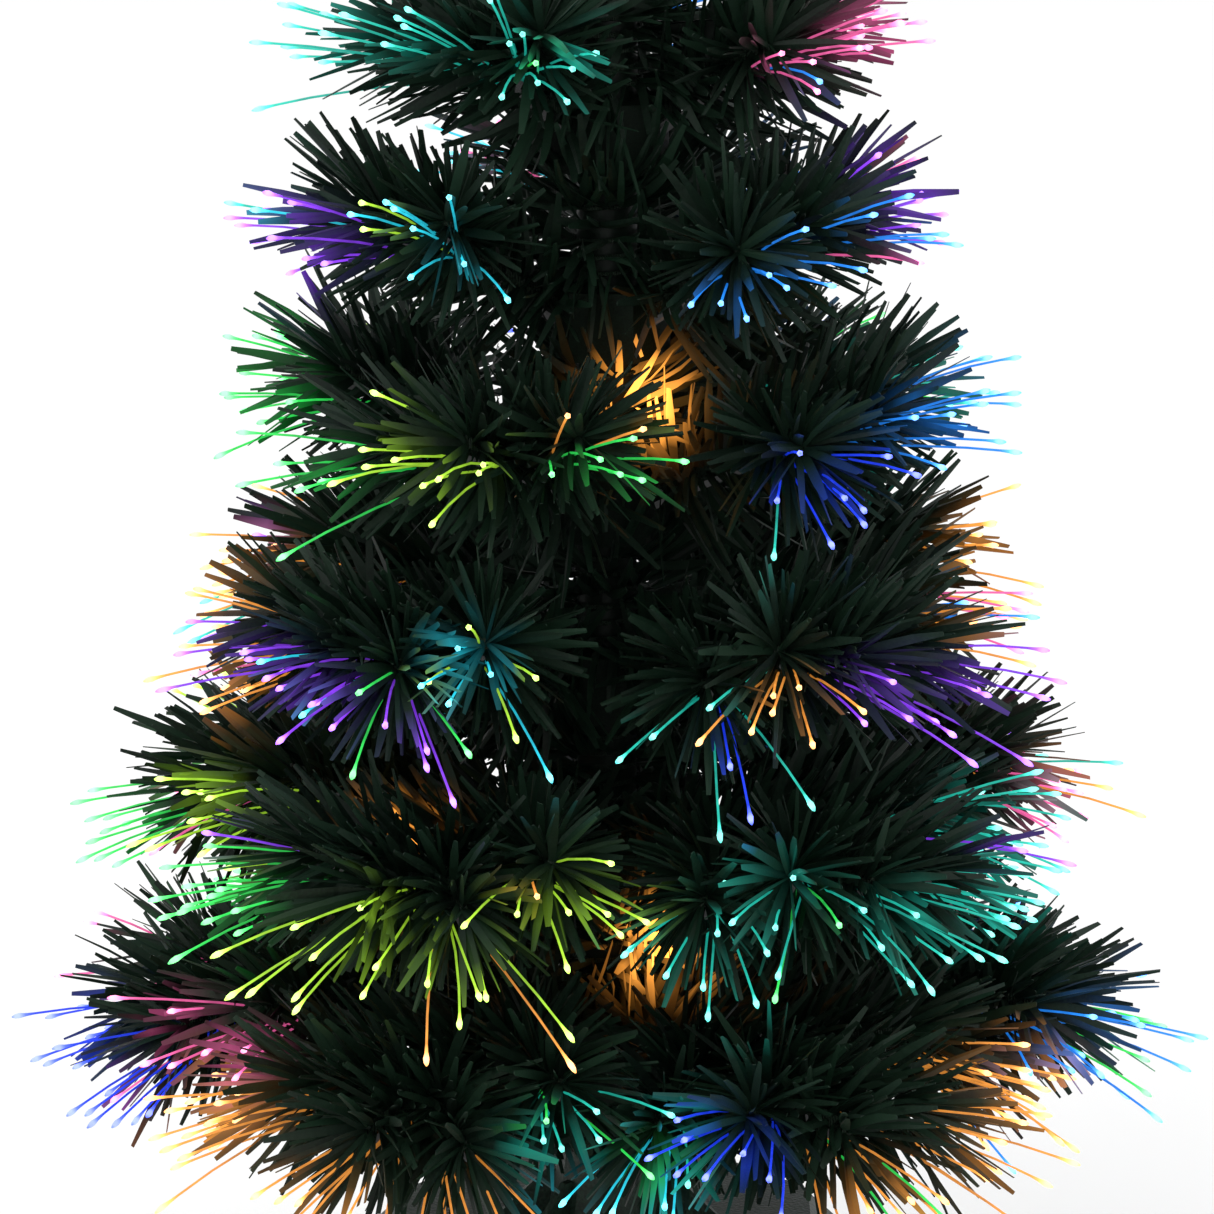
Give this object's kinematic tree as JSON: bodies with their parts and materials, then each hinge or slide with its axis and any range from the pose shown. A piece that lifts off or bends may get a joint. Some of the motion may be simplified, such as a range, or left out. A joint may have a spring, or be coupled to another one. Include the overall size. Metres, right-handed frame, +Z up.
{
  "type": "fibre optic christmas tree",
  "caption": "Tabletop needle tree with glowing fibre tips on branched sprays, on an octagonal lamp base with a turning colour wheel.",
  "frame": {"origin": "on the surface under the middle of the base", "axes": "+Z up along the pole, +Y towards the rear panel with the switch, +X to the right seen from the front"},
  "size_m": [0.372, 0.3514, 0.6021],
  "materials": {
    "base_moulding": "dark green moulded plastic, fine spark texture",
    "foot_rubber": "matte black rubber",
    "bracket_steel": "zinc plated sheet",
    "socket_ceramic": "unglazed ceramic",
    "lamp_glass": "faceted reflector glass",
    "wheel_plastic": "heat resistant moulding",
    "motor_steel": "plated drawn can",
    "shaft_steel": "ground steel",
    "black_plastic": "black moulded plastic",
    "rocker_plastic": "smooth black plastic",
    "pole_paint": "dark green powder coat on steel tube",
    "collar_plastic": "dark green moulded plastic",
    "ferrule_metal": "crimped aluminium sleeve",
    "bundle_plastic": "bundled clear acrylic fibres",
    "needle_film": "dark green cut film with a slight sheen",
    "lit_fibre": "clear acrylic fibre, lit from the root, brightest at its end",
    "gel_green": "thin coloured filter film",
    "gel_teal": "thin coloured filter film",
    "gel_blue": "thin coloured filter film",
    "gel_violet": "thin coloured filter film",
    "gel_pink": "thin coloured filter film",
    "gel_amber": "thin coloured filter film"
  },
  "bodies": {
    "base": {"base_housing": "base_moulding", "bottom_plate": "base_moulding", "rubber_feet": "foot_rubber", "lamp_bracket": "bracket_steel", "lamp_socket": "socket_ceramic", "halogen_lamp": "lamp_glass", "motor_can": "motor_steel", "dc_inlet": "black_plastic", "switch_frame": "black_plastic"},
    "tree": {"trunk_tube": "pole_paint", "main_bundle": "bundle_plastic", "fibre_ferrule": "ferrule_metal", "tier_collars": "collar_plastic", "pole_garland": "needle_film", "top_tip": "needle_film", "branch_tier_1_1": "needle_film", "branch_tier_1_2": "needle_film", "branch_tier_1_3": "needle_film", "branch_tier_1_4": "needle_film", "branch_tier_1_5": "needle_film", "branch_tier_1_6": "needle_film", "branch_tier_2_1": "needle_film", "branch_tier_2_2": "needle_film", "branch_tier_2_3": "needle_film", "branch_tier_2_4": "needle_film", "branch_tier_2_5": "needle_film", "branch_tier_3_1": "needle_film", "branch_tier_3_2": "needle_film", "branch_tier_3_3": "needle_film", "branch_tier_3_4": "needle_film", "branch_tier_4_1": "needle_film", "branch_tier_4_2": "needle_film", "branch_tier_4_3": "needle_film", "branch_tier_4_4": "needle_film", "branch_tier_5_1": "needle_film", "branch_tier_5_2": "needle_film", "branch_tier_5_3": "needle_film", "branch_tier_6_1": "needle_film", "branch_tier_6_2": "needle_film", "branch_tier_6_3": "needle_film", "fibres_tier_1": "lit_fibre", "fibres_tier_2": "lit_fibre", "fibres_tier_3": "lit_fibre", "fibres_tier_4": "lit_fibre", "fibres_tier_5": "lit_fibre", "fibres_tier_6": "lit_fibre", "fibres_top": "lit_fibre"},
    "colour_wheel": {"motor_shaft": "shaft_steel", "wheel_frame": "wheel_plastic", "gel_amber": "gel_amber", "gel_blue": "gel_blue", "gel_green": "gel_green", "gel_pink": "gel_pink", "gel_teal": "gel_teal", "gel_violet": "gel_violet"},
    "rocker": {"switch_rocker": "rocker_plastic"}
  },
  "joints": [
    {"name": "tree_lift", "type": "slide", "parent": "base", "child": "tree", "axis": [0, 0, 1], "range_m": [0, 0.06]},
    {"name": "wheel_spin", "type": "hinge", "parent": "base", "child": "colour_wheel", "pos_m": [0.03, 0, 0.057], "axis": [0, 0, 1], "continuous": true},
    {"name": "rocker_tilt", "type": "hinge", "parent": "base", "child": "rocker", "pos_m": [0.012, 0.0782, 0.026], "axis": [0, 0, 1], "range_deg": [0, 14]}
  ]
}
